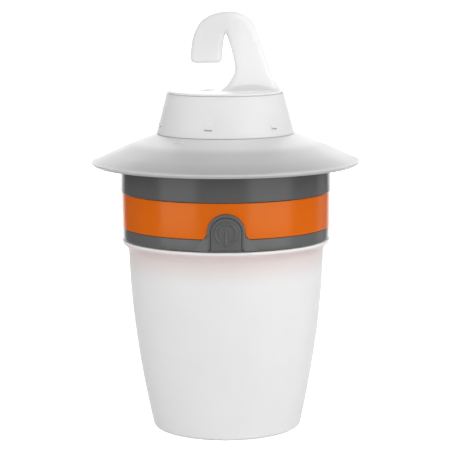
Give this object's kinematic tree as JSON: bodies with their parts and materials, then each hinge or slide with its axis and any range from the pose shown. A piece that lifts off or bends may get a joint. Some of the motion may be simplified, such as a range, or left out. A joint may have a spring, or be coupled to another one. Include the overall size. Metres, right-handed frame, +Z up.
{
  "type": "camping lantern",
  "caption": "Battery camping lantern: a frosted tapering cup under a push-button collar, a wide rain brim and a twist-off cone cover with a moulded hanging hook.",
  "frame": {"origin": "centre of the cup's flat bottom face, on the lantern's axis", "axes": "+Z up along the lantern's axis, -Y towards the button, +X to the right seen from the button side, where the hook is rooted"},
  "size_m": [0.118, 0.118, 0.1836],
  "materials": {
    "frosted_plastic": "frosted, lets light through",
    "orange_plastic": "satin",
    "grey_plastic": "satin",
    "seal_rubber": "matte",
    "white_plastic": "matte",
    "board": "solder mask",
    "black_plastic": "satin",
    "red_plastic": "satin",
    "led": "phosphor",
    "cell_jacket": "printed film",
    "steel": "zinc plated"
  },
  "bodies": {
    "base": {"diffuser": "frosted_plastic", "brim": "frosted_plastic", "chassis": "orange_plastic", "lower_collar": "grey_plastic", "upper_collar": "grey_plastic", "diffuser_seal": "seal_rubber", "button_dome": "seal_rubber", "cell_cradle": "white_plastic", "cradle_lid": "white_plastic", "reflector": "white_plastic", "led_board": "board", "switch_board": "board", "tact_switch": "black_plastic", "lead_black": "black_plastic", "lead_red": "red_plastic", "led_1": "led", "led_2": "led", "led_3": "led", "led_4": "led", "led_5": "led", "led_6": "led", "led_7": "led", "led_8": "led", "cell_1": "cell_jacket", "cell_2": "cell_jacket", "cell_3": "cell_jacket", "cell_spring_1": "steel", "cell_spring_2": "steel", "cell_spring_3": "steel", "top_contact_1": "steel", "top_contact_2": "steel", "case_screw_1": "steel", "case_screw_2": "steel", "case_screw_3": "steel", "brim_screw_1": "steel", "brim_screw_2": "steel", "brim_screw_3": "steel"},
    "seal": {"head_seal": "seal_rubber"},
    "head": {"head_cover": "frosted_plastic", "hook": "frosted_plastic", "hook_screw_1": "steel", "hook_screw_2": "steel", "hook_screw_3": "steel"},
    "button": {"power_button": "grey_plastic"}
  },
  "joints": [
    {"name": "head_twist", "type": "hinge", "parent": "base", "child": "seal", "pos_m": [0, 0, 0.1309], "axis": [0, 0, 1], "range_deg": [0, 30]},
    {"name": "head_lift", "type": "slide", "parent": "seal", "child": "head", "axis": [0, 0, 1], "range_m": [0, 0.06]},
    {"name": "button_press", "type": "slide", "parent": "base", "child": "button", "axis": [0, 1, 0], "range_m": [0, 0.0008], "stiffness_N_per_m": 600, "springref_m": -0.003}
  ]
}
